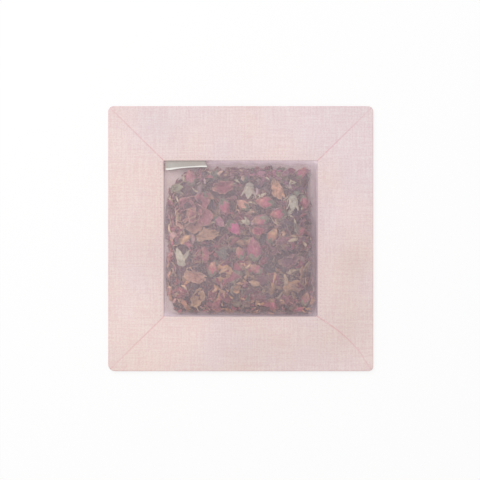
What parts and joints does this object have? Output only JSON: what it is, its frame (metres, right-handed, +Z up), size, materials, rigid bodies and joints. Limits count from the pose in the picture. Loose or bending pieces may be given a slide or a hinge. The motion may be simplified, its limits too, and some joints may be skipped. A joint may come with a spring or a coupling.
{
  "type": "scented sachet",
  "caption": "Flat square linen sachet: mitred border round a sheer organza window, dried rosebuds and petals sealed behind it, and a folded ribbon label that lifts.",
  "frame": {"origin": "centre of the square on the table, under the back panel", "axes": "+Z up from the table through the window, +Y towards the border that holds the label, +X to the right seen from above"},
  "size_m": [0.1524, 0.1524, 0.0148],
  "materials": {
    "linen": "matt plain-weave linen, pale pink",
    "organza": "sheer lilac-white organza, faint sheen",
    "thread": "matt pink sewing thread",
    "ribbon": "satin ribbon, grey-beige",
    "rosebud": "dried rose petals, dusky pink, matt",
    "calyx": "dried sepals, pale grey-green, matt",
    "petal": "dried crinkled petals, brown-red, matt"
  },
  "bodies": {
    "sachet": {"calyx_01": "calyx", "calyx_02": "calyx", "calyx_03": "calyx", "calyx_04": "calyx", "calyx_05": "calyx", "calyx_06": "calyx", "edge_seam_thread": "thread", "linen_back_panel": "linen", "linen_border_bottom": "linen", "linen_border_left": "linen", "linen_border_right": "linen", "linen_border_top": "linen", "mitre_seam_thread_bottom_left": "thread", "mitre_seam_thread_bottom_right": "thread", "mitre_seam_thread_top_left": "thread", "mitre_seam_thread_top_right": "thread", "organza_window": "organza", "petal_01": "petal", "petal_02": "petal", "petal_03": "petal", "petal_04": "petal", "petal_05": "petal", "petal_06": "petal", "petal_07": "petal", "petal_08": "petal", "petal_09": "petal", "petal_10": "petal", "petal_11": "petal", "petal_12": "petal", "petal_bed": "petal", "ribbon_label_tail": "ribbon", "rosebud_01": "rosebud", "rosebud_02": "rosebud", "rosebud_03": "rosebud", "rosebud_04": "rosebud", "rosebud_05": "rosebud", "rosebud_06": "rosebud", "rosebud_07": "rosebud", "rosebud_08": "rosebud", "rosebud_09": "rosebud", "rosebud_10": "rosebud", "rosebud_11": "rosebud", "rosebud_12": "rosebud", "rosebud_13": "rosebud", "rosebud_14": "rosebud", "rosebud_15": "rosebud", "rosebud_16": "rosebud", "rosebud_17": "rosebud", "topstitch_bobbin_thread": "thread", "topstitch_needle_thread": "thread"},
    "label": {"ribbon_label_loop": "ribbon"}
  },
  "joints": [
    {"name": "label_flap", "type": "hinge", "parent": "sachet", "child": "label", "pos_m": [-0.0319, 0.0434, 0.00359], "axis": [-1, 0, 0], "range_deg": [0, 115]}
  ]
}
